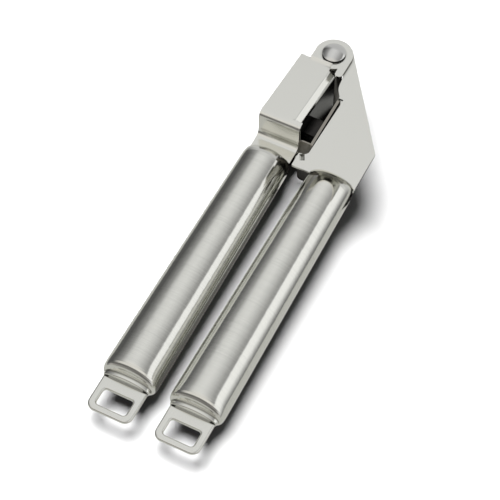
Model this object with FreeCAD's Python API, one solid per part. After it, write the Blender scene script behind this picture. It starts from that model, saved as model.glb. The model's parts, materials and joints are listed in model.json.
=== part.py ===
# Garlic press: two hollow handles, a folded lever with a plunger, a two-plate
# body and a lift-out sieve.  Millimetres.  The pivot axis is vertical (Z), the
# handles run along -Y from the head, the lever is on the -X side.
import FreeCAD, Part
import os
import math
from FreeCAD import Vector as V

os.makedirs("parts", exist_ok=True)

# ---------------------------------------------------------------- dimensions
# layout
XA = -14.75            # lever handle axis
XB = 14.75             # body handle axis
PX, PY = -9.5, 82.0    # pivot
# handle tubes: a tapered oval shell, drawn in at both ends
TUBE_Y = (-80.0, 16.0)            # straight stretch
TUBE_A = (11.62, 10.68)           # half width (x) at its two ends
TUBE_B = (10.75, 10.6)            # half thickness (z) at its two ends
TUBE_WALL = 0.85
Y_TUBE_END = -93.0
Y_TUBE_HEAD = 30.3
# end collar and hanging loop
COLLAR_A, COLLAR_B, COLLAR_L = 10.35, 4.2, 1.7
PLUG_A, PLUG_B, PLUG_L = 8.9, 3.2, 7.0
LOOP_W, LOOP_T = 19.5, 2.0
LOOP_END = -110.2
LOOP_R = 3.6
HOLE_W, HOLE_Y0, HOLE_Y1, HOLE_R = 13.2, -107.4, -99.8, 1.4
TANG_W = 15.2
# sheet metal
T = 1.0                # sheet thickness of the head parts
TONGUE_W = 19.0        # strip width where it enters the handle
TONGUE_IN_W = 17.6     # narrower tang inside the tube
LAYER0 = 0.08          # half gap between the two tongue layers
# lever channel
LX0, LX1 = -24.25, -5.25
Z_LEV = 14.6           # outer face of the lever's flanges
Y_WALL = 39.2          # outer face of the S-bend wall
R_TOP, R_BOT = 3.0, 3.2
Y_WEB0, Y_WEB1 = 43.0, 73.6
# the flange turns into the web over a bevel: small bend, flat, larger bend
BEV_R0, BEV_L, BEV_R1, BEV_A = 0.5, 2.5, 2.2, 40.0
X_WEB = -6.3                       # outer face of the web at SKEW_Y
SKEW_Y, SKEW = 41.0, -2.8          # the flanges and web lean by this angle from there
Y_CREASE0, Y_CREASE1 = 75.4, 77.0
Z_EAR = 15.7           # outer face of the ears
R_EAR = 8.3
# body plates
Z_PL = 14.4            # outer face of the body plates
X_MOUTH = 3.9
X_MOUTH0, X_MOUTH1 = 3.7, 4.6       # the mouth's edge at its two ends
Y_PL0 = 21.0
X_PL1 = 28.7
# pivot
R_PIN = 2.5
PIN_CLEAR = 0.06
R_HEAD = 4.9
# plunger
R_SWEEP = 46.5
# sieve
SV_Y0, SV_Y1 = 34.6, 61.0
SV_Z = 12.8
SV_X0, SV_X1 = 2.2, 13.9
SV_T = 0.6


# ------------------------------------------------------------------ helpers
def box(x0, x1, y0, y1, z0, z1):
    return Part.makeBox(x1 - x0, y1 - y0, z1 - z0, V(x0, y0, z0))


def cyl_z(x, y, r, z0, z1):
    return Part.makeCylinder(r, z1 - z0, V(x, y, z0), V(0, 0, 1))


def cyl_x(x0, x1, y, z, r):
    return Part.makeCylinder(r, x1 - x0, V(x0, y, z), V(1, 0, 0))


def arc3(c, r, a0, a1, plane):
    """arc edge about c from angle a0 to a1 (degrees) in plane 'yz' or 'xz' or 'xy'"""
    def p(a):
        a = math.radians(a)
        u, w = c[0] + r * math.cos(a), c[1] + r * math.sin(a)
        if plane == "yz":
            return V(0, u, w)
        if plane == "xz":
            return V(u, 0, w)
        return V(u, w, 0)
    return Part.Arc(p(a0), p((a0 + a1) / 2.0), p(a1)).toShape()


def line3(a, b, plane):
    def p(q):
        if plane == "yz":
            return V(0, q[0], q[1])
        if plane == "xz":
            return V(q[0], 0, q[1])
        return V(q[0], q[1], 0)
    return Part.makeLine(p(a), p(b))


def oval(x, y, a, b, n=32):
    """closed smooth section in a plane of constant y"""
    pts = [V(x + a * math.cos(2 * math.pi * i / n), y, b * math.sin(2 * math.pi * i / n))
           for i in range(n)]
    c = Part.BSplineCurve()
    c.interpolate(Points=pts, PeriodicFlag=True)
    return Part.Wire([c.toShape()])


def loft(x, rows, ruled=False):
    return Part.makeLoft([oval(x, y, a, b) for (y, a, b) in rows], True, ruled)


END_B, HEAD_B = 4.7, 4.3          # half thickness where the two ends close
DOME_HEAD, DOME_END = 7.5, 7.0    # length over which each end closes


def tube_section(y):
    """half width and half thickness of the handle's outer surface at y"""
    t = (y - TUBE_Y[0]) / (TUBE_Y[1] - TUBE_Y[0])
    a = TUBE_A[0] + (TUBE_A[1] - TUBE_A[0]) * t
    b = TUBE_B[0] + (TUBE_B[1] - TUBE_B[0]) * t
    if y > TUBE_Y[1]:
        a *= (1 - ((y - TUBE_Y[1]) / 15.2) ** 9) ** (1 / 8.0)
    if y < TUBE_Y[0]:
        a *= (1 - ((TUBE_Y[0] - y) / 13.9) ** 14) ** 0.2
    v = max((y - (Y_TUBE_HEAD - DOME_HEAD)) / DOME_HEAD, 0.0)
    w = max(((Y_TUBE_END + DOME_END) - y) / DOME_END, 0.0)
    b = HEAD_B + (b - HEAD_B) * max(1 - v ** 2.2, 0.0) ** 0.5
    b = END_B + (b - END_B) * max(1 - w ** 3.0, 0.0) ** 0.5
    return a, b


def tube_inner(y):
    a0, b0 = tube_section(y)
    a1, b1 = tube_section(y + 0.01)
    return (a0 - TUBE_WALL * math.hypot(1, (a1 - a0) / 0.01),
            b0 - TUBE_WALL * math.hypot(1, (b1 - b0) / 0.01))


OUT_Y = (-93.0, -92.97, -92.88, -92.72, -92.5, -92.2, -91.8, -91.3, -90.6, -89.8, -88.8,
         -87.6, -86.0, -83.0, -80.0, 16.0, 20.0, 22.8, 24.4, 25.8, 27.0, 28.0, 28.7,
         29.2, 29.6, 29.9, 30.1, 30.22, 30.28, 30.3)
IN_Y = (-91.5, -91.2, -90.6, -89.8, -88.8, -87.6, -86.0, -83.0, -80.0,
        16.0, 20.0, 22.8, 24.4, 25.8, 27.0, 28.0, 28.5)


def round_poly(pts, z0, z1):
    """prism from (x, y, corner radius) points"""
    n = len(pts)
    segs = []
    ends = []
    for i in range(n):
        x, y, r = pts[i]
        p = V(x, y, z0)
        if r <= 0:
            ends.append((p, p, None))
            continue
        a = V(pts[i - 1][0], pts[i - 1][1], z0) - p
        b = V(pts[(i + 1) % n][0], pts[(i + 1) % n][1], z0) - p
        a.normalize()
        b.normalize()
        ang = a.getAngle(b)
        d = r / math.tan(ang / 2.0)
        bis = (a + b)
        bis.normalize()
        cen = p + bis * (r / math.sin(ang / 2.0))
        mid = cen - bis * r
        ends.append((p + a * d, p + b * d, mid))
    for i in range(n):
        s, e, m = ends[i]
        if m is not None:
            segs.append(Part.Arc(s, m, e).toShape())
        nxt = ends[(i + 1) % n][0]
        if (nxt - e).Length > 1e-6:
            segs.append(Part.makeLine(e, nxt))
    w = Part.Wire(Part.__sortEdges__(segs))
    return Part.Face(w).extrude(V(0, 0, z1 - z0))


def mirror_z(s):
    return s.mirror(V(0, 0, 0), V(0, 0, 1))


def one(s):
    """a clean single solid"""
    s = s.removeSplitter()
    if len(s.Solids) == 1:
        return s.Solids[0]
    return s


def edges_where(s, test):
    return [e for e in s.Edges if test(e)]


parts = {}


# ------------------------------------------------------------- handle pieces
def handle(x, prefix):
    tube = loft(x, [(y,) + tube_section(y) for y in OUT_Y], True)
    tube = tube.cut(loft(x, [(y,) + tube_inner(y) for y in IN_Y], True))
    tube = tube.cut(box(x - TONGUE_IN_W / 2, x + TONGUE_IN_W / 2, 27.0, 31.0,
                        -(LAYER0 + T), LAYER0 + T))
    plug_hole = Part.Face(oval(x, -95.0, PLUG_A, PLUG_B)).extrude(V(0, 5.0, 0))
    tube = tube.cut(plug_hole)
    parts[prefix + "_tube"] = one(tube)

    # collar: short oval ring with rounded rim, on a plug that enters the tube
    y0 = Y_TUBE_END
    ring = loft(x, [(y0, COLLAR_A, COLLAR_B), (y0 - 0.9, COLLAR_A, COLLAR_B),
                    (y0 - 1.4, COLLAR_A - 0.15, COLLAR_B - 0.15),
                    (y0 - COLLAR_L, COLLAR_A - 0.55, COLLAR_B - 0.55)])
    plug = Part.Face(oval(x, y0 + PLUG_L, PLUG_A, PLUG_B)).extrude(V(0, -PLUG_L - 0.5, 0))
    collar = ring.fuse(plug)
    collar = collar.cut(box(x - TANG_W / 2, x + TANG_W / 2, y0 - 3, y0 + PLUG_L + 1,
                            -LOOP_T / 2, LOOP_T / 2))
    parts[prefix + "_collar"] = one(collar)

    # hanging loop with a tang that runs through the collar into the handle
    yc = y0 - COLLAR_L
    h = LOOP_W / 2
    loop = round_poly([(x - h, yc, 0.6), (x - h, LOOP_END, LOOP_R),
                       (x + h, LOOP_END, LOOP_R), (x + h, yc, 0.6)],
                      -LOOP_T / 2, LOOP_T / 2)
    hw = HOLE_W / 2
    hole = round_poly([(x - hw, HOLE_Y1, HOLE_R), (x - hw, HOLE_Y0, HOLE_R),
                       (x + hw, HOLE_Y0, HOLE_R), (x + hw, HOLE_Y1, HOLE_R)],
                      -LOOP_T, LOOP_T)
    loop = loop.cut(hole)
    es = edges_where(loop, lambda e: abs(abs(e.BoundBox.ZMax) - LOOP_T / 2) < 1e-4
                     and e.BoundBox.ZLength < 1e-4 and e.BoundBox.YMin < yc - 0.01)
    try:
        loop = loop.makeFillet(0.8, es)
    except Exception:
        pass
    tang = box(x - TANG_W / 2, x + TANG_W / 2, yc - 0.4, y0 + PLUG_L + 4.0,
               -LOOP_T / 2, LOOP_T / 2)
    parts[prefix + "_loop"] = one(loop.fuse(tang))

    # filler block inside the head end of the tube, gripping the tongue
    core = Part.Face(oval(x, 19.0, 9.3, 8.7)).extrude(V(0, 5.0, 0))
    core = core.cut(box(x - TONGUE_IN_W / 2, x + TONGUE_IN_W / 2, 10, 30,
                        -(LAYER0 + T), LAYER0 + T))
    parts[prefix + "_tube_filler"] = core


handle(XA, "lever")
handle(XB, "body")


# ------------------------------------------------------------- lever channel
_ba = math.radians(BEV_A)
XW0 = X_WEB - (BEV_R0 * math.sin(_ba) + BEV_L * math.cos(_ba) + BEV_R1 * (1 - math.sin(_ba)))
ZW_FLAT = Z_LEV - (BEV_R0 * (1 - math.cos(_ba)) + BEV_L * math.sin(_ba) + BEV_R1 * math.cos(_ba))


def lean(s):
    s = s.copy()
    s.rotate(V(XA, SKEW_Y, 0), V(0, 0, 1), SKEW)
    return s


def lever_half():
    z0, z1 = LAYER0, LAYER0 + T
    cb = (Y_WALL - R_BOT, z1 + R_BOT)
    ct = (Y_WALL + R_TOP, Z_LEV - R_TOP)
    yb = 16.0
    yf = Y_WEB0 + 0.6
    e = [line3((yb, z0), (yb, z1), "yz"),
         line3((yb, z1), (cb[0], z1), "yz"),
         arc3(cb, R_BOT, -90, 0, "yz"),
         line3((Y_WALL, cb[1]), (Y_WALL, ct[1]), "yz"),
         arc3(ct, R_TOP, 180, 90, "yz"),
         line3((ct[0], Z_LEV), (yf, Z_LEV), "yz"),
         line3((yf, Z_LEV), (yf, Z_LEV - T), "yz"),
         line3((yf, Z_LEV - T), (ct[0], Z_LEV - T), "yz"),
         arc3(ct, R_TOP - T, 90, 180, "yz"),
         line3((Y_WALL + T, ct[1]), (Y_WALL + T, cb[1]), "yz"),
         arc3(cb, R_BOT + T, 0, -90, "yz"),
         line3((cb[0], z0), (yb, z0), "yz")]
    f = Part.Face(Part.Wire(e))
    s = f.extrude(V(LX1 - LX0, 0, 0))
    s.translate(V(LX0, 0, 0))
    # shoulders where the tongue enters the tube
    d = (TONGUE_W - TONGUE_IN_W) / 2
    s = s.cut(box(LX0 - 1, LX0 + d, 10, Y_TUBE_HEAD, -1, 3))
    s = s.cut(box(LX1 - d, LX1 + 1, 10, Y_TUBE_HEAD, -1, 3))
    # relief notch at the start of the web bend
    s = s.cut(box(XW0 - 0.3, LX1 + 1, Y_WEB0 - 0.4, Y_WEB0 + 2, Z_LEV - 4, Z_LEV + 1))
    # flange
    xf = XW0
    fl = lean(box(LX0, xf, yf - 0.6, Y_CREASE0, Z_LEV - T, Z_LEV))
    fl2 = lean(box(LX0, -19.6, Y_CREASE0 - 0.1, 76.5, Z_LEV - T, Z_LEV))
    fl3 = box(-17.9, -8.1, 74.0, Y_CREASE0 + 0.1, Z_LEV - T, Z_LEV)
    # joggle up to the ear
    jg = Part.Face(Part.makePolygon([V(0, Y_CREASE0, Z_LEV - T), V(0, Y_CREASE0, Z_LEV),
                                     V(0, Y_CREASE1, Z_EAR), V(0, Y_CREASE1 + 0.3, Z_EAR),
                                     V(0, Y_CREASE1 + 0.3, Z_EAR - T), V(0, Y_CREASE1 - 0.2, Z_EAR - T),
                                     V(0, Y_CREASE0 + 0.3, Z_LEV - T),
                                     V(0, Y_CREASE0, Z_LEV - T)])).extrude(V(10.1, 0, 0))
    jg.translate(V(-17.9, 0, 0))
    # ear: round lobe with a short leg down its right side
    disc = cyl_z(PX, PY, R_EAR, Z_EAR - T, Z_EAR)
    skirt = round_poly([(PX - R_EAR, PY, 0), (PX - R_EAR, Y_CREASE1, 0.0),
                        (-4.7, Y_CREASE1, 1.2), (-4.4, 71.5, 1.2), (-1.3, 71.2, 1.6),
                        (PX + R_EAR, PY, 0)], Z_EAR - T, Z_EAR)
    ear = disc.fuse(skirt)
    # the ear starts at the joggle, it does not hang over the flange
    ear = ear.cut(box(-30, -7.6, 60, Y_CREASE1, Z_EAR - 3, Z_EAR + 3))
    s = s.fuse([fl, fl2, fl3, jg, ear])
    s = s.cut(cyl_z(PX, PY, R_PIN + PIN_CLEAR, 10, 20))
    return s


def web():
    """flange edge, bevel, web and the mirrored bevel as one bent strip"""
    ca, sa = math.cos(_ba), math.sin(_ba)
    c0 = (XW0, Z_LEV - BEV_R0)
    p1 = (c0[0] + BEV_R0 * sa, c0[1] + BEV_R0 * ca)
    p2 = (p1[0] + BEV_L * ca, p1[1] - BEV_L * sa)
    c1 = (p2[0] - BEV_R1 * sa, p2[1] - BEV_R1 * ca)
    r1 = BEV_R1 - T
    q2 = (c1[0] + r1 * sa, c1[1] + r1 * ca)
    # inner corner between the flange and the bevel
    zi = Z_LEV - T
    t = (zi - q2[1]) / sa
    q1 = (q2[0] - ca * t, zi)
    xe = XW0 - 0.4

    def side(k):
        def m(q):
            return (q[0], k * q[1])
        out = [line3(m((xe, zi)), m((xe, Z_LEV)), "xz"),
               line3(m((xe, Z_LEV)), m((c0[0], Z_LEV)), "xz"),
               arc3(m(c0), BEV_R0, k * 90, k * (90 - BEV_A), "xz"),
               line3(m(p1), m(p2), "xz"),
               arc3(m(c1), BEV_R1, k * (90 - BEV_A), 0, "xz")]
        inn = [arc3(m(c1), r1, k * (90 - BEV_A), 0, "xz"),
               line3(m(q2), m(q1), "xz"),
               line3(m(q1), m((xe, zi)), "xz")]
        return out + inn
    e = side(1) + side(-1)
    e.append(line3((X_WEB, c1[1]), (X_WEB, -c1[1]), "xz"))
    e.append(line3((X_WEB - T, c1[1]), (X_WEB - T, -c1[1]), "xz"))
    f = Part.Face(Part.Wire(Part.__sortEdges__(e)))
    s = f.extrude(V(0, Y_WEB1 - Y_WEB0, 0))
    s.translate(V(0, Y_WEB0, 0))
    return lean(s)


RIV_Y = (46.8, 53.2)
lh = lever_half()
channel = lh.fuse([mirror_z(lh), web()])
for ry in RIV_Y:
    channel = channel.cut(lean(cyl_x(X_WEB - T - 0.5, X_WEB + 0.5, ry, 0, 1.6)))
parts["lever_channel"] = one(channel)

# ------------------------------------------------------------------- plunger
stem = box(-9.0, 7.5, 45.0, 55.0, -5.0, 5.0)
stem = stem.makeFillet(0.8, edges_where(stem, lambda e: e.BoundBox.XLength > 5))
stem = stem.cut(lean(box(X_WEB - 20, X_WEB, 30.0, 80.0, -20, 20)))
for ry in RIV_Y:
    stem = stem.cut(lean(cyl_x(X_WEB - 0.5, X_WEB + 6.0, ry, 0, 1.6)))
parts["plunger_stem"] = one(stem)

plate = box(7.5, 10.5, 37.0, 58.8, -11.6, 11.6)
plate = plate.common(cyl_z(PX, PY, R_SWEEP, -20, 20))
plate = plate.makeFillet(0.7, edges_where(plate, lambda e: e.BoundBox.XMin > 10.4))
parts["plunger_plate"] = one(plate)

rivs = []
for ry in RIV_Y:
    r = cyl_x(X_WEB - T, X_WEB + 6.0, ry, 0, 1.6)
    hd = Part.makeSphere(2.9, V(X_WEB - T + 1.3, ry, 0)).common(
        box(X_WEB - T - 3, X_WEB - T, ry - 4, ry + 4, -4, 4))
    rivs.append(lean(r.fuse(hd).removeSplitter().Solids[0]))
parts["plunger_rivets"] = Part.makeCompound(rivs)

# --------------------------------------------------------------- body plates
SL = (0.567, -0.824)                   # direction of the slanted edge
NX, NY = 0.824, 0.567                  # its outward normal
OFF = 8.6                              # its distance from the pivot


def on_slant(t):
    return (PX + NX * OFF + SL[0] * t, PY + NY * OFF + SL[1] * t)


s_top = on_slant(-4.0)
# where the slanted edge meets the right edge
t_r = (X_PL1 - (PX + NX * OFF)) / SL[0]
s_bot = on_slant(t_r)
outline = [
    (0.0, Y_PL0, 0.5), (X_PL1, Y_PL0, 0.9), (s_bot[0], s_bot[1], 1.2),
    (s_top[0], s_top[1], 1.5),
    (-7.4, 87.0, 2.0), (PX - 5.0, PY + 5.0, 4.6), (PX - 5.0, PY - 4.8, 4.4), (-6.9, 77.2, 2.6),
    (-2.4, 78.3, 1.6), (-0.8, 72.0, 12.0), (-0.2, 66.5, 9.0), (2.4, 62.6, 0.8),
    (2.4, 61.8, 0.3), (X_MOUTH1, 61.8, 0.3), (X_MOUTH0, 28.4, 2.4), (0.0, 28.1, 0.5)]
plate_b = round_poly(outline, Z_PL - T, Z_PL)
plate_b = plate_b.cut(cyl_z(PX, PY, R_PIN, 0, 20))
# the bottom edge is cut away round the end of the handle
NOTCH = [(8.3, 20.0), (8.45, 21.4), (8.9, 22.5), (10.0, 23.5), (12.0, 24.4), (14.0, 24.82),
         (16.0, 24.97), (18.0, 24.96), (20.0, 24.79), (22.0, 24.41), (24.0, 23.85),
         (26.0, 23.05), (27.0, 22.5), (28.0, 21.75), (29.2, 20.4)]
nb = Part.BSplineCurve()
nb.interpolate([V(x, y, 0) for x, y in NOTCH])
nw = Part.Wire([nb.toShape(), Part.makeLine(V(29.2, 20.4, 0), V(29.2, 19.0, 0)),
                Part.makeLine(V(29.2, 19.0, 0), V(8.3, 19.0, 0)),
                Part.makeLine(V(8.3, 19.0, 0), V(8.3, 20.0, 0))])
plate_b = plate_b.cut(Part.Face(nw).extrude(V(0, 0, 30)))
plate_full = plate_b.copy()
# V-shaped punch mark in the finger at the mouth's lower end
GA = math.atan2(-0.448, 0.894)
vee = Part.Face(Part.makePolygon([V(-1.4, 0, Z_PL + 0.2), V(0.0, 0, Z_PL - 0.9),
                                  V(1.4, 0, Z_PL + 0.2), V(-1.4, 0, Z_PL + 0.2)])).extrude(V(0, 3.4, 0))
vee.rotate(V(0, 0, 0), V(0, 0, 1), math.degrees(-GA))
vee.translate(V(2.9, 25.0, 0))
plate_b = plate_b.cut(vee)
parts["body_plate_upper"] = one(plate_b)
# the lower plate stops short on the right and hides under the handle
X_PL1_LOW = 19.4
lower = plate_full.cut(box(X_PL1_LOW, X_PL1 + 2, 10, 100, 0, 20))
es = edges_where(lower, lambda e: abs(e.BoundBox.XMin - X_PL1_LOW) < 1e-4
                 and e.BoundBox.XLength < 1e-4 and e.BoundBox.YLength < 1e-4)
try:
    lower = lower.makeFillet(1.5, es)
except Exception:
    pass
parts["body_plate_lower"] = one(mirror_z(lower))


# ---------------------------------------------- brackets that carry the body
def bracket():
    z0, z1 = LAYER0, LAYER0 + T
    yw = 32.0
    r = 1.2
    c = (yw - r, z1 + r)
    yb = 16.0
    zt = Z_PL - T
    e = [line3((yb, z0), (yb, z1), "yz"),
         line3((yb, z1), (c[0], z1), "yz"),
         arc3(c, r, -90, 0, "yz"),
         line3((yw, c[1]), (yw, zt), "yz"),
         line3((yw, zt), (yw + T, zt), "yz"),
         line3((yw + T, zt), (yw + T, c[1]), "yz"),
         arc3(c, r + T, 0, -90, "yz"),
         line3((c[0], z0), (yb, z0), "yz")]
    f = Part.Face(Part.Wire(e))
    x0, x1 = XB - TONGUE_W / 2, XB + TONGUE_W / 2
    s = f.extrude(V(x1 - x0, 0, 0))
    s.translate(V(x0, 0, 0))
    d = (TONGUE_W - TONGUE_IN_W) / 2
    s = s.cut(box(x0 - 1, x0 + d, 10, Y_TUBE_HEAD, -1, 3))
    s = s.cut(box(x1 - d, x1 + 1, 10, Y_TUBE_HEAD, -1, 3))
    return s


br = bracket()
parts["body_bracket_upper"] = one(br)
parts["body_bracket_lower"] = one(mirror_z(br.cut(box(X_PL1_LOW, 30, 29, 40, 4.0, 20))))

# --------------------------------------------------------------------- pivot
bush = cyl_z(PX, PY, 4.2, -(Z_PL - T), Z_PL - T).cut(cyl_z(PX, PY, R_PIN, -20, 20))
parts["pivot_bush"] = one(bush)

ZW0 = Z_EAR + 0.1
ZW1 = ZW0 + 0.5
wash = cyl_z(PX, PY, 4.1, ZW0, ZW1).cut(cyl_z(PX, PY, R_PIN, 0, 30))
parts["pivot_washers"] = Part.makeCompound([wash, mirror_z(wash)])


def head(h_rim, r_cap, h_dome):
    """low domed rivet head standing on z = ZW1"""
    rim = cyl_z(PX, PY, R_HEAD, ZW1, ZW1 + h_rim)
    rs = (r_cap ** 2 + h_dome ** 2) / (2 * h_dome)
    zc = ZW1 + h_rim + h_dome - rs
    cap = Part.makeSphere(rs, V(PX, PY, zc)).common(
        box(PX - 8, PX + 8, PY - 8, PY + 8, ZW1 + h_rim - 0.2, ZW1 + 20))
    return rim.fuse(cap)


shank = cyl_z(PX, PY, R_PIN, -ZW1, ZW1)
rivet = shank.fuse([head(0.6, 4.85, 1.8), mirror_z(head(0.4, 4.4, 0.9))])
parts["pivot_rivet"] = one(rivet)

# --------------------------------------------------------------------- sieve
xi0 = SV_X0
wall = box(xi0, SV_X1, SV_Y0, SV_Y1, -SV_Z, SV_Z)
wall = wall.makeFillet(1.6, edges_where(wall, lambda e: e.BoundBox.XLength > 5))
inner = box(xi0 - 1, SV_X1 - SV_T, SV_Y0 + SV_T, SV_Y1 - SV_T, -SV_Z + SV_T, SV_Z - SV_T)
inner = inner.makeFillet(1.0, edges_where(inner, lambda e: e.BoundBox.XLength > 5))
rim = box(xi0, xi0 + 1.2, 34.0, 61.4, -14.2, 14.2)
rim = rim.makeFillet(1.0, edges_where(rim, lambda e: e.BoundBox.XLength > 1
                                      and e.BoundBox.YLength < 0.01 and e.BoundBox.ZLength < 0.01))
tab = box(-3.4, xi0 + 0.5, SV_Y0, SV_Y0 + SV_T, -13.6, 13.6)
tab = tab.makeFillet(2.0, edges_where(tab, lambda e: e.BoundBox.XMax < -3.3
                                      and e.BoundBox.YLength > 0.1))
basket = wall.fuse([rim, tab]).cut(inner)
# opening in the bottom, leaving a ledge that carries the perforated plate
basket = basket.cut(box(SV_X1 - 1.5, SV_X1 + 1, SV_Y0 + 2.2, SV_Y1 - 2.2, -SV_Z + 2.2, SV_Z - 2.2))
parts["sieve_basket"] = one(basket)

gx0, gx1 = SV_X1 - SV_T - 0.8, SV_X1 - SV_T
grid = box(gx0, gx1, SV_Y0 + SV_T, SV_Y1 - SV_T, -SV_Z + SV_T, SV_Z - SV_T)
grid = grid.makeFillet(1.0, edges_where(grid, lambda e: e.BoundBox.XLength > 0.5
                                        and e.BoundBox.YLength < 0.01 and e.BoundBox.ZLength < 0.01))
holes = []
NYH, NZH = 7, 6
PITCH = 3.2
for i in range(NYH):
    for j in range(NZH):
        yy = (SV_Y0 + SV_Y1) / 2 + (i - (NYH - 1) / 2) * PITCH
        zz = (j - (NZH - 1) / 2) * PITCH
        holes.append(cyl_x(gx0 - 1, gx1 + 1, yy, zz, 1.05))
grid = grid.cut(holes)
parts["sieve_grid"] = one(grid)

# ------------------------------------------------- frame: bottom centre of box
x_lo = XA - max(tube_section(y)[0] for y in OUT_Y)
z_lo = -(ZW1 + 0.4 + 0.9)
shift = V(-(x_lo + X_PL1) / 2, -(LOOP_END + PY + R_EAR) / 2, -z_lo)
print("shift", round(shift.x, 4), round(shift.y, 4), round(shift.z, 4))
print("pivot", round(PX + shift.x, 4), round(PY + shift.y, 4), round(shift.z, 4))
for name, s in parts.items():
    s = s.copy()
    s.translate(shift)
    ok = s.isValid()
    print(name, "solids", len(s.Solids), "valid", ok, "vol", round(s.Volume, 1))
    s.exportStep("parts/" + name + ".step")
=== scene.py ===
import bpy, json, math
from mathutils import Vector, Matrix


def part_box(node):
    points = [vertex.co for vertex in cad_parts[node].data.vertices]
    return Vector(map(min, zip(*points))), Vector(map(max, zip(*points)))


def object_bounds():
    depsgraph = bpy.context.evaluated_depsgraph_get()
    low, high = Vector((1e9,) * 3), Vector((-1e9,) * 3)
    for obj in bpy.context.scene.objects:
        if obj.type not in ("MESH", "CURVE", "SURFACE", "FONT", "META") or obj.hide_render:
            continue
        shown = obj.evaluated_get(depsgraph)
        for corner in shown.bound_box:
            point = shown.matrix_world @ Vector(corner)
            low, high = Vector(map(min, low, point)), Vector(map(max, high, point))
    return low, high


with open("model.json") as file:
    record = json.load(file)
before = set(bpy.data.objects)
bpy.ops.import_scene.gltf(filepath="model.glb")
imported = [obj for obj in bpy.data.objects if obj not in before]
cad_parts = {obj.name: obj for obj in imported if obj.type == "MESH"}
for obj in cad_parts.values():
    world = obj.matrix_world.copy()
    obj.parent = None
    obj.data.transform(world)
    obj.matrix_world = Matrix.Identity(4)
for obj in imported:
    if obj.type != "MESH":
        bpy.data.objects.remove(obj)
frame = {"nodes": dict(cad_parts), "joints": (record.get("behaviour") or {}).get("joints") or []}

cad_lo, cad_hi = [list(v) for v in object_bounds()]
scene = bpy.context.scene
nodes = frame["nodes"]
joint = [j for j in frame["joints"] if j["name"] == "lever_pivot"][0]
PIV = Vector(joint["pos_m"])                      # pivot, on the mid-plane


# ------------------------------------------------------------ node helpers
class Tree:
    def __init__(self, tree):
        self.t = tree
        self.n = tree.nodes
        self.l = tree.links

    def add(self, kind, **sockets):
        node = self.n.new(kind)
        for k, v in sockets.items():
            if k.startswith("p_"):
                setattr(node, k[2:], v)
        for k, v in sockets.items():
            if k.startswith("i_"):
                self.put(node.inputs[k[2:].replace("__", " ")], v)
        return node

    def put(self, sock, v):
        if isinstance(v, bpy.types.NodeSocket):
            self.l.new(v, sock)
        elif isinstance(v, bpy.types.Node):
            self.l.new(v.outputs[0], sock)
        else:
            sock.default_value = v

    def math(self, op, a, b=None, c=None, clamp=False):
        node = self.n.new("ShaderNodeMath")
        node.operation = op
        node.use_clamp = clamp
        for i, v in enumerate((a, b, c)):
            if v is not None:
                self.put(node.inputs[i], v)
        return node.outputs[0]

    def ramp(self, fac, stops, mode="LINEAR"):
        node = self.n.new("ShaderNodeValToRGB")
        cr = node.color_ramp
        cr.interpolation = mode
        while len(cr.elements) > 1:
            cr.elements.remove(cr.elements[-1])
        cr.elements[0].position = stops[0][0]
        cr.elements[0].color = stops[0][1]
        for p, c in stops[1:]:
            e = cr.elements.new(p)
            e.color = c
        self.put(node.inputs[0], fac)
        return node.outputs[0]

    def mix(self, fac, a, b, kind="MIX"):
        node = self.n.new("ShaderNodeMix")
        node.data_type = "RGBA"
        node.blend_type = kind
        self.put(node.inputs[0], fac)
        self.put(node.inputs[6], a)
        self.put(node.inputs[7], b)
        return node.outputs[2]


def grey(v, w=1.0):
    return (v, v, v * w, 1.0)


def new_mat(name):
    m = bpy.data.materials.new(name)
    m.use_nodes = True
    m.node_tree.nodes.clear()
    t = Tree(m.node_tree)
    out = t.add("ShaderNodeOutputMaterial")
    bs = t.add("ShaderNodeBsdfPrincipled")
    t.l.new(bs.outputs[0], out.inputs[0])
    bs.inputs["Metallic"].default_value = 1.0
    return m, t, bs


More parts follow.
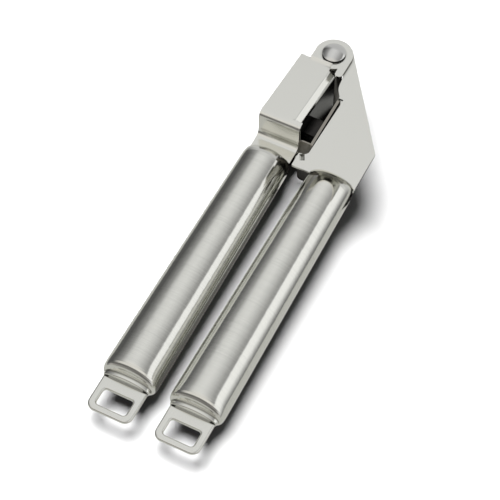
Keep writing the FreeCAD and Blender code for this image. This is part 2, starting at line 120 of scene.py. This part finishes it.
def steel(name, base, rough, grain=None, grain_amt=0.06, rough_amt=0.05, bump=0.0,
          blotch=0.04, fine=3000.0, coarse=60.0, aniso=0.0, crease_shade=0.0, deep=0.0, web_shade=0.0):
    """stainless steel; grain is the axis across the brushing lines ('X', 'Y', 'Z') or None"""
    m, t, bs = new_mat(name)
    tc = t.add("ShaderNodeTexCoord")
    obj = tc.outputs["Object"]
    if grain:
        sc = [coarse, coarse, coarse]
        sc["XYZ".index(grain)] = fine
    else:
        sc = [fine * 0.5] * 3
    mp = t.add("ShaderNodeMapping", i_Vector=obj, i_Scale=sc)
    n1 = t.add("ShaderNodeTexNoise", i_Vector=mp, i_Scale=1.0, i_Detail=3.0, i_Roughness=0.65)
    sc2 = [v * 0.42 for v in sc]
    mp2 = t.add("ShaderNodeMapping", i_Vector=obj, i_Scale=sc2, i_Location=(3.1, 7.7, 1.3))
    n2 = t.add("ShaderNodeTexNoise", i_Vector=mp2, i_Scale=1.0, i_Detail=2.0, i_Roughness=0.6)
    blo = t.add("ShaderNodeTexNoise", i_Vector=obj, i_Scale=38.0, i_Detail=4.0, i_Roughness=0.6)
    g = t.math("ADD", t.math("MULTIPLY", t.math("SUBTRACT", n1.outputs[0], 0.5), 1.2),
               t.math("MULTIPLY", t.math("SUBTRACT", n2.outputs[0], 0.5), 0.5))
    gg = t.math("ADD", t.math("MULTIPLY", g, grain_amt * 2.0),
                t.math("MULTIPLY", t.math("SUBTRACT", blo.outputs[0], 0.5), blotch * 2.0))
    fac = t.math("ADD", gg, 0.5, clamp=True)
    lo = [c * 0.5 for c in base]
    hi = [min(1.0, c * 1.25) for c in base]
    col = t.ramp(fac, [(0.0, (*lo, 1.0)), (0.5, (*base, 1.0)), (1.0, (*hi, 1.0))])
    if crease_shade:
        # painted shade where pieces meet: ambient occlusion darkens the base colour
        ao = t.add("ShaderNodeAmbientOcclusion", p_samples=8)
        ao.inputs["Distance"].default_value = crease_shade
        crease_shade_col = t.ramp(ao.outputs["AO"], [(0.0, grey(0.05)), (0.35, grey(0.22)), (0.62, grey(0.72)), (0.9, grey(1.0))])
        col = t.mix(1.0, col, crease_shade_col, "MULTIPLY")
    if deep:
        # the walls inside the head, where little light gets in
        ao2 = t.add("ShaderNodeAmbientOcclusion", p_samples=8)
        ao2.inputs["Distance"].default_value = deep
        gloom = t.ramp(ao2.outputs["AO"], [(0.0, grey(0.015)), (0.34, grey(0.03)), (0.56, grey(1.0))])
        col = t.mix(1.0, col, gloom, "MULTIPLY")
    if web_shade:
        # painted shade: the web's side towards the chamber is darkened almost to black, standing in for the shade
        # inside the chamber
        nx = t.add("ShaderNodeSeparateXYZ", i_Vector=tc.outputs["Normal"]).outputs[0]
        pz = t.add("ShaderNodeSeparateXYZ", i_Vector=obj).outputs[2]
        off = t.math("ABSOLUTE", t.math("SUBTRACT", pz, PIV.z))
        band = t.math("MULTIPLY", t.math("SUBTRACT", 0.0122, off), 1500.0, clamp=True)
        face = t.math("MULTIPLY", t.math("SUBTRACT", nx, 0.80), 10.0, clamp=True)
        web_shade_tone = t.math("ADD", t.math("MULTIPLY", blo.outputs[0], 0.10), web_shade - 0.05)
        col = t.mix(t.math("MULTIPLY", band, face), col, t.mix(1.0, grey(1.0), web_shade_tone, "MULTIPLY"))
    t.put(bs.inputs["Base Color"], col)
    r = t.math("ADD", t.math("MULTIPLY", g, rough_amt * 2.0), rough, clamp=True)
    r = t.math("ADD", r, t.math("MULTIPLY", t.math("SUBTRACT", blo.outputs[0], 0.5), rough_amt))
    t.put(bs.inputs["Roughness"], r)
    if bump:
        bp = t.add("ShaderNodeBump", i_Height=g, i_Strength=bump, i_Distance=0.00002)
        t.put(bs.inputs["Normal"], bp)
    if aniso:
        bs.inputs["Anisotropic"].default_value = aniso
    return m


BASE = (0.80, 0.80, 0.755)
M = {
    "handle": steel("handle_brushed", BASE, 0.13, "Y", 0.11, 0.08, 0.4, 0.03, crease_shade=0.0016),
    "sheet": steel("head_sheet_satin", BASE, 0.20, None, 0.012, 0.03, 0.05, 0.02, crease_shade=0.0018),
    # the channel's web carries painted shade on its side towards the chamber
    "channel": steel("channel_satin", BASE, 0.20, None, 0.012, 0.03, 0.05, 0.02, crease_shade=0.0018, web_shade=0.06),
    "loop": steel("loop_satin", BASE, 0.20, "Y", 0.02, 0.04, 0.1, 0.02, crease_shade=0.0016),
    "collar": steel("collar_polished", BASE, 0.10, None, 0.01, 0.02, 0.0, 0.01, crease_shade=0.0012),
    "rivet": steel("rivet_polished", (0.72, 0.72, 0.70), 0.08, None, 0.02, 0.03, 0.0, 0.05, crease_shade=0.0012),
    # painted shade: plunger, sieve and pivot bush get darker base colours than the other steel, standing in for the
    # shade inside the head
    "plunger": steel("plunger_satin_shaded", (0.09, 0.086, 0.081), 0.30, "Z", 0.02, 0.05, 0.1, 0.03, deep=0.040),
    "sieve": steel("sieve_dull_shaded", (0.36, 0.34, 0.30), 0.3, None, 0.02, 0.05, 0.1, 0.04, crease_shade=0.0012, deep=0.030),
    "bush": steel("bush_shaded", (0.30, 0.29, 0.27), 0.3, None, 0.01, 0.05, 0.1, 0.02, deep=0.030),
    "filler": steel("filler_rough", (0.55, 0.55, 0.54), 0.45, None, 0.03, 0.05, 0.1, 0.05),
}


def kind_of(n):
    if n == "lever_channel":
        return "channel"
    if n.endswith("_tube"):
        return "handle"
    if n.endswith("_collar"):
        return "collar"
    if n.endswith("_loop"):
        return "loop"
    if n.endswith("_filler"):
        return "filler"
    if n.startswith("plunger"):
        return "plunger"
    if n == "pivot_bush":
        return "bush"
    if n in ("pivot_rivet", "pivot_washers"):
        return "rivet"
    if n.startswith("sieve"):
        return "sieve"
    return "sheet"


for n, o in nodes.items():
    mat = M[kind_of(n)]
    if not o.material_slots:
        o.data.materials.append(mat)
    for s in o.material_slots:
        s.material = mat

# ------------------------------------------------------------------- floor
def plane(name, x0, x1, y0, y1, z):
    me = bpy.data.meshes.new(name)
    me.from_pydata([(x0, y0, z), (x1, y0, z), (x1, y1, z), (x0, y1, z)], [], [(0, 1, 2, 3)])
    o = bpy.data.objects.new(name, me)
    scene.collection.objects.link(o)
    return o


def matte(name, col):
    m = bpy.data.materials.new(name)
    m.use_nodes = True
    b = m.node_tree.nodes["Principled BSDF"]
    b.inputs["Base Color"].default_value = col
    b.inputs["Roughness"].default_value = 0.9
    b.inputs["Specular IOR Level"].default_value = 0.0
    return m


# the press rests on the pivot rivet's lower end and on the ends of both handles, so the
# floor rises by this slope from the rivet towards the handles and is level beyond them
tube_lo, tube_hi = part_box("body_tube")
SLOPE = (tube_lo.z - 0.00005) / (PIV.y - (tube_lo.y + 0.012))


def sheet_floor(name, x0, x1, y0, y1, lift=0.0):
    ys = [y0] + [y for y in (PIV.y - 0.212, PIV.y - 0.15, PIV.y - 0.08, PIV.y) if y0 < y < y1] + [y1]
    vs, fs = [], []
    for y in ys:
        z = SLOPE * min(max(PIV.y - y, 0.0), 0.212) - 0.00006 + lift
        vs += [(x0, y, z), (x1, y, z)]
    for i in range(len(ys) - 1):
        fs.append((2 * i, 2 * i + 1, 2 * i + 3, 2 * i + 2))
    me = bpy.data.meshes.new(name)
    me.from_pydata(vs, [], fs)
    for p in me.polygons:
        p.use_smooth = True
    o = bpy.data.objects.new(name, me)
    scene.collection.objects.link(o)
    return o


floor = sheet_floor("floor", -3, 3, -3, 3)
floor.data.materials.append(matte("floor_white", (0.8, 0.8, 0.8, 1)))
floor.visible_glossy = False
# what the metal mirrors of the table: a glowing card just round the press, and a black card under its head, a painted
# shadow standing in for the shaded table there
table = sheet_floor("table_card", cad_lo[0] - 0.040, cad_hi[0] + 0.034, cad_lo[1] - 0.09, cad_hi[1] + 0.09)
glow = matte("table_white", (0.0, 0.0, 0.0, 1))
glow.node_tree.nodes["Principled BSDF"].inputs["Emission Color"].default_value = (1.0, 1.0, 0.95, 1)
glow.node_tree.nodes["Principled BSDF"].inputs["Emission Strength"].default_value = 0.55
gt = Tree(glow.node_tree)
glp = gt.add("ShaderNodeLightPath")
gt.put(glow.node_tree.nodes["Principled BSDF"].inputs["Emission Strength"],
       gt.math("MULTIPLY", gt.math("SUBTRACT", 1.0, glp.outputs["Diffuse Depth"], clamp=True), 0.55))
table.data.materials.append(glow)
OX, OY = PIV.x + 0.0095, PIV.y - 0.082
flag = plane("flag_card", OX - 0.012, OX + 0.026, OY + 0.034, OY + 0.100, 0.004)
flag.data.materials.append(matte("flag_painted_shadow", (0.004, 0.003, 0.003, 1)))
# the shaded strip of table between the two handles, as their facing sides mirror it
ll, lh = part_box("lever_tube")
strip = sheet_floor("gap_strip", lh.x - 0.0015, tube_lo.x + 0.0065, tube_lo.y + 0.004, tube_hi.y - 0.004, 0.0004)
sg = matte("strip_grey", (0.0, 0.0, 0.0, 1))
sg.node_tree.nodes["Principled BSDF"].inputs["Emission Color"].default_value = (1.0, 0.97, 0.90, 1)
sg.node_tree.nodes["Principled BSDF"].inputs["Emission Strength"].default_value = 0.11
strip.data.materials.append(sg)
# painted shadow: a black card for the shaded band of floor that the plates' cut edges mirror
pl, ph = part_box("body_plate_upper")
me = bpy.data.meshes.new("edge_flag")
me.from_pydata([(ph.x - 0.002, pl.y + 0.010, 0.002), (ph.x + 0.012, pl.y + 0.010, 0.002),
                (ph.x + 0.014, pl.y + 0.030, 0.002), (PIV.x + 0.022, PIV.y + 0.018, 0.002),
                (PIV.x + 0.004, PIV.y + 0.018, 0.002), (ph.x - 0.002, pl.y + 0.024, 0.002)],
               [], [(0, 1, 2, 3, 4, 5)])
flag2 = bpy.data.objects.new("edge_flag", me)
scene.collection.objects.link(flag2)
flag2.data.materials.append(flag.data.materials[0])
for o in (table, flag, flag2, strip):
    o.visible_camera = False
    o.visible_diffuse = False
    o.visible_shadow = False

# ------------------------------------------------------------------- light
sun = bpy.data.lights.new("key", "SUN")
sun.energy = 5.2
sun.angle = math.radians(40)
so = bpy.data.objects.new("key", sun)
scene.collection.objects.link(so)
d = Vector((-0.22, 0.12, 1.0)).normalized()
so.rotation_mode = "QUATERNION"
so.rotation_quaternion = d.to_track_quat("Z", "Y")
so.visible_glossy = False

world = bpy.data.worlds.new("studio")
scene.world = world
world.use_nodes = True
world.node_tree.nodes.clear()
w = Tree(world.node_tree)
tc = w.add("ShaderNodeTexCoord")
sep = w.add("ShaderNodeSeparateXYZ", i_Vector=tc.outputs["Generated"])
ang = w.math("ARCTAN2", sep.outputs[0], sep.outputs[2])
fac = w.math("ADD", w.math("DIVIDE", ang, 2 * math.pi), 0.5)
STOPS = [(-180, .52), (-125, .3), (-112, .10), (-99, .11), (-87, .095), (-77, .14), (-67, .19), (-58, .265),
         (-49, .35), (-41, .53), (-33, .70), (-26, .755), (-18, .78), (-11, .80), (-4, .79),
         (3, .755), (10, .706), (17, .644), (24, .564), (31, .496), (38, .41), (45, .349),
         (51, .33), (55, 1.03), (67, 1.02), (75, 1.0), (83, .94), (91, .72), (101, .42),
         (110, .2), (117, .18), (180, .52)]
col = w.ramp(fac, [((a + 180) / 360.0, grey(v)) for a, v in STOPS])
# behind the head the room evens out to a light grey
edge = w.math("MULTIPLY", w.math("SUBTRACT", sep.outputs[1], 0.58), 5.0, clamp=True)
col = w.mix(edge, col, grey(0.60))
# on the side of the handles' loops: a bright soft box, then the dark of the room under it
NEAR = [(-180, .45), (-20, .74), (14, .80), (26, .86), (52, .86), (60, .48), (68, .20), (82, .12),
        (92, .30), (104, .62), (150, .60), (180, .45)]
tilt = w.math("ARCTAN2", w.math("MULTIPLY", sep.outputs[1], -1.0), sep.outputs[2])
tf = w.math("ADD", w.math("DIVIDE", tilt, 2 * math.pi), 0.5)
near = w.ramp(tf, [((a + 180) / 360.0, (v, v * 0.97, v * 0.93, 1.0)) for a, v in NEAR])
side = w.math("MULTIPLY", w.math("SUBTRACT", w.math("MULTIPLY", sep.outputs[1], -1.0), 0.30), 3.0, clamp=True)
col = w.mix(side, col, near)
lp = w.add("ShaderNodeLightPath")
power = w.math("SUBTRACT", 1.0, w.math("MULTIPLY", w.math("MINIMUM", lp.outputs["Diffuse Depth"], 1.0), 0.89))
bg = w.add("ShaderNodeBackground", i_Color=col, i_Strength=power)
wo = w.add("ShaderNodeOutputWorld")
w.l.new(bg.outputs[0], wo.inputs[0])

# ------------------------------------------------------------------ camera
az, el, roll = math.radians(26.64), math.radians(55.85), math.radians(0.28)
dist = 0.7367
# the point looked at, measured from the pivot
target = PIV + Vector((0.0091, -0.098, 0.0))
back = Vector((math.sin(az) * math.cos(el), -math.cos(az) * math.cos(el), math.sin(el)))
right = Vector((math.cos(az), math.sin(az), 0))
up = back.cross(right)
r2 = right * math.cos(roll) + up * math.sin(roll)
u2 = up * math.cos(roll) - right * math.sin(roll)
cam = bpy.data.cameras.new("camera")
cam.sensor_width = 36.0
cam.lens = 1797.6 / 500 * 36.0
cam.clip_start, cam.clip_end = 0.01, 20
co = bpy.data.objects.new("camera", cam)
scene.collection.objects.link(co)
co.matrix_world = Matrix((
    (r2.x, u2.x, back.x, target.x + back.x * dist),
    (r2.y, u2.y, back.y, target.y + back.y * dist),
    (r2.z, u2.z, back.z, target.z + back.z * dist),
    (0, 0, 0, 1)))
scene.camera = co
scene.view_settings.view_transform = "Standard"
scene.view_settings.look = "None"
